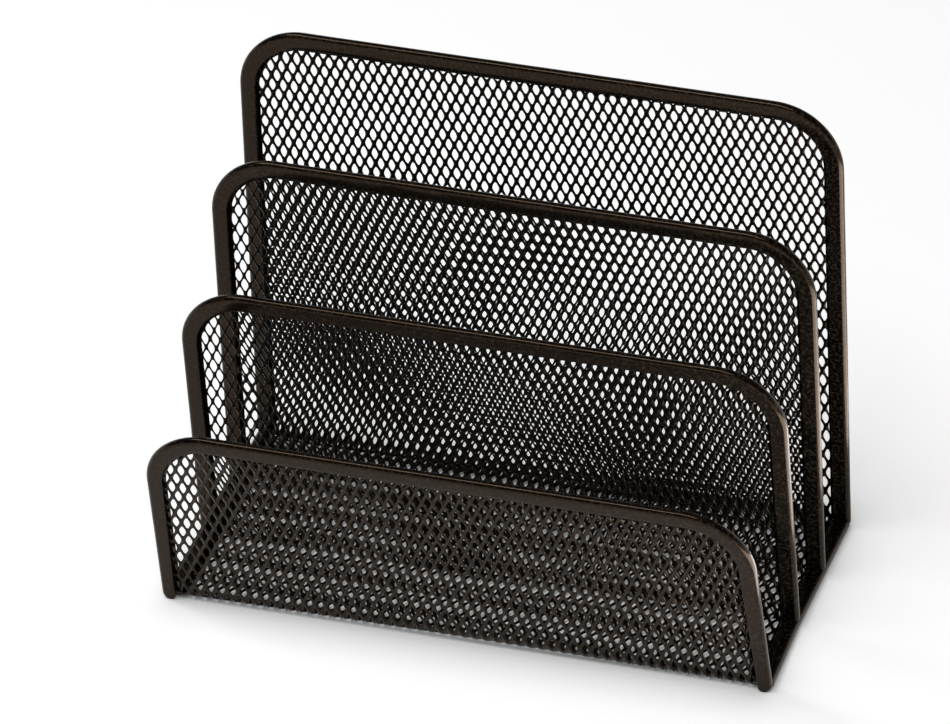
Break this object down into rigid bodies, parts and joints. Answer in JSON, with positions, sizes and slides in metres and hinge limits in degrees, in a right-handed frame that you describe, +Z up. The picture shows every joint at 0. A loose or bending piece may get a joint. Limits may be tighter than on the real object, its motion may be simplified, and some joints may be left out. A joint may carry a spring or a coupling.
{
  "type": "desk letter sorter",
  "caption": "Desk letter sorter of black steel net with upright panels stepping up to the back, folded strip edges and open slots for envelopes.",
  "frame": {"origin": "middle of the bounding box, on the surface that the sorter stands on", "axes": "+X to the right seen from the front, along the width; +Y to the back; +Z up"},
  "size_m": [0.168, 0.0934, 0.1335],
  "materials": {
    "net_steel": "satin black powder coat on expanded steel net",
    "strip_steel": "satin black powder coat on folded steel strip"
  },
  "bodies": {
    "root": {"front_net": "net_steel", "front_divider_net": "net_steel", "rear_divider_net": "net_steel", "back_net": "net_steel", "base_net": "net_steel", "front_rim": "strip_steel", "front_divider_rim": "strip_steel", "rear_divider_rim": "strip_steel", "back_rim": "strip_steel", "front_rail_left": "strip_steel", "front_rail_right": "strip_steel", "rear_rail_left": "strip_steel", "rear_rail_right": "strip_steel"}
  },
  "joints": []
}
